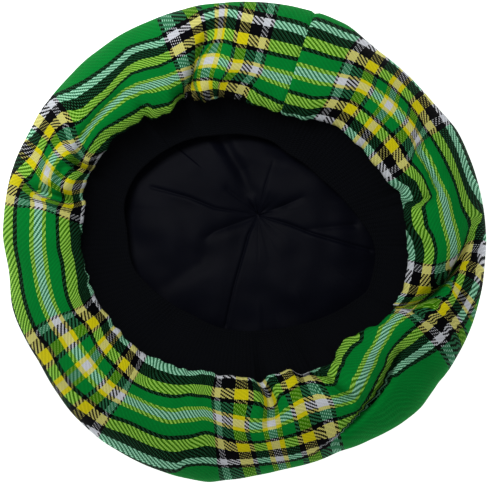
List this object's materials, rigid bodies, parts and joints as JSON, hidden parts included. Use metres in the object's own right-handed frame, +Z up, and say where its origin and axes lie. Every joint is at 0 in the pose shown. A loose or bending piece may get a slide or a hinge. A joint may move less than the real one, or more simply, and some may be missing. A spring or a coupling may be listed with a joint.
{
  "type": "tam o shanter",
  "caption": "Soft round tartan cap lying on its crown, full rolled brimless side, stretchy ribbed knit headband and gored dark lining.",
  "frame": {"origin": "centre of the bounding box on the surface that the hat lies on", "axes": "+Z up out of the head opening (the hat lies on its crown), +X to the right and +Y to the top of the picture, which looks straight down"},
  "size_m": [0.2772, 0.2758, 0.059],
  "materials": {
    "tartan": "soft woven twill, green with black, white, yellow and lime lines",
    "rib_knit": "matt black ribbed elastic knit",
    "satin": "slightly shiny near-black lining cloth"
  },
  "bodies": {
    "root": {"crown": "tartan", "underside": "tartan", "headband": "rib_knit", "lining": "satin"}
  },
  "joints": []
}
